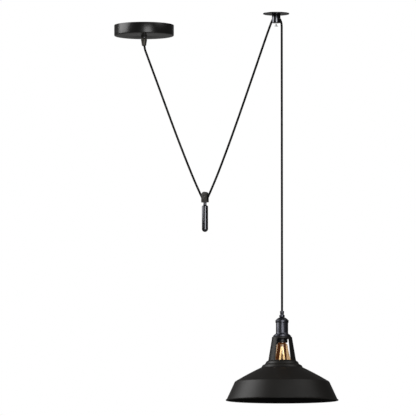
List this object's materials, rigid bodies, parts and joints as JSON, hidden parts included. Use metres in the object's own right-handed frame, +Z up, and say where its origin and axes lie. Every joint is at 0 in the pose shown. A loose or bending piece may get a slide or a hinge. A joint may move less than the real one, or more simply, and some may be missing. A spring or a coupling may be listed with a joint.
{
  "type": "rise and fall pendant lamp",
  "caption": "Rise and fall pendant lamp: a cord from a ceiling canopy turns under a weighted pulley, passes a ceiling guide and carries a wide shade with a bulb.",
  "frame": {"origin": "centre of the canopy's ceiling bracket, on the ceiling plane, between its two screw slots", "axes": "+Z up into the ceiling, +X from the canopy to the cord guide and the lamp, +Y across; the cord hangs in the XZ plane"},
  "size_m": [0.8365, 0.36, 1.2451],
  "materials": {
    "black_paint": "satin",
    "zinc_steel": "satin",
    "brass": "satin",
    "black_plastic": "satin",
    "white_plastic": "matte",
    "clear_plastic": "gloss",
    "black_textile": "matte",
    "wire_insulation": "satin",
    "bulb_glass": "gloss",
    "bulb_metal": "satin",
    "filament": "matte"
  },
  "bodies": {
    "ceiling": {"ceiling_bracket": "zinc_steel", "canopy_cup": "black_paint", "canopy_screws": "black_paint", "canopy_nipple": "zinc_steel", "nipple_washer": "zinc_steel", "nipple_nut": "zinc_steel", "terminal_block": "white_plastic", "terminal_sleeves": "brass", "terminal_screws": "zinc_steel", "earth_screw": "zinc_steel", "canopy_leads": "wire_insulation", "knuckle_yoke": "black_paint", "pivot_screws": "zinc_steel", "cord_canopy_entry": "black_textile", "guide_plate": "black_paint", "guide_body": "black_paint", "cord_left_leg": "black_textile", "cord_right_leg": "black_textile", "cord_guide_run": "black_textile", "cord_drop": "black_textile"},
    "canopy_grip": {"canopy_grip": "black_paint", "canopy_grip_screw": "black_paint", "cord_grip_tail": "black_textile"},
    "clamp_pad": {"clamp_pad": "clear_plastic"},
    "clamp_screw": {"clamp_screw": "clear_plastic"},
    "weight": {"pulley_block": "black_paint", "sheave_axle": "zinc_steel", "weight_stud": "zinc_steel", "weight_collar": "black_paint", "counterweight": "black_paint", "cord_sheave_turn": "black_textile"},
    "sheave": {"sheave": "black_plastic"},
    "lamp": {"lamp_grip": "black_paint", "lamp_grip_screw": "black_paint", "lamp_nipple": "zinc_steel", "holder_cap": "black_paint", "holder_shell": "black_paint", "shade_ring": "black_paint", "shade_nut": "black_paint", "holder_core": "black_plastic", "holder_terminals": "brass", "holder_terminal_screws": "zinc_steel", "holder_insert": "black_plastic", "centre_contact": "brass", "side_contact": "brass", "lamp_leads": "wire_insulation", "shade_neck": "black_paint", "shade_dish": "black_paint", "shade_rim": "black_paint", "bulb_contact": "bulb_metal", "bulb_insulator": "black_plastic", "bulb_cap": "bulb_metal", "bulb_glass": "bulb_glass", "bulb_stem": "bulb_glass", "bulb_supports": "zinc_steel", "bulb_filaments": "filament", "cord_lamp_end": "black_textile"}
  },
  "joints": [
    {"name": "lamp_travel", "type": "slide", "parent": "ceiling", "child": "lamp", "axis": [0, 0, 1], "range_m": [-0.3, 0.45], "deforming": ["cord_drop"]},
    {"name": "weight_travel", "type": "slide", "parent": "ceiling", "child": "weight", "axis": [0, 0, 1], "range_m": [-0.26, 0.18], "deforming": ["cord_left_leg", "cord_right_leg"]},
    {"name": "sheave_spin", "type": "hinge", "parent": "weight", "child": "sheave", "pos_m": [0.25, 0, -0.5735], "axis": [0, 1, 0], "continuous": true},
    {"name": "canopy_grip_tilt", "type": "hinge", "parent": "ceiling", "child": "canopy_grip", "pos_m": [0, 0, -0.04], "axis": [0.7547, -0.6561, 0], "range_deg": [-25, 25]},
    {"name": "clamp_advance", "type": "slide", "parent": "ceiling", "child": "clamp_pad", "axis": [0, 0, 1], "range_m": [-0.0016, 0]},
    {"name": "clamp_turn", "type": "hinge", "parent": "clamp_pad", "child": "clamp_screw", "pos_m": [0.537, 0, -0.03], "axis": [0, 0, 1], "range_deg": [-725, 0]}
  ],
  "couplings": [
    {"joint": "weight_travel", "follows": "lamp_travel", "ratio": -0.55},
    {"joint": "sheave_spin", "follows": "lamp_travel", "rad_per_m": 39.8},
    {"joint": "clamp_turn", "follows": "clamp_advance", "rad_per_m": 7854}
  ]
}
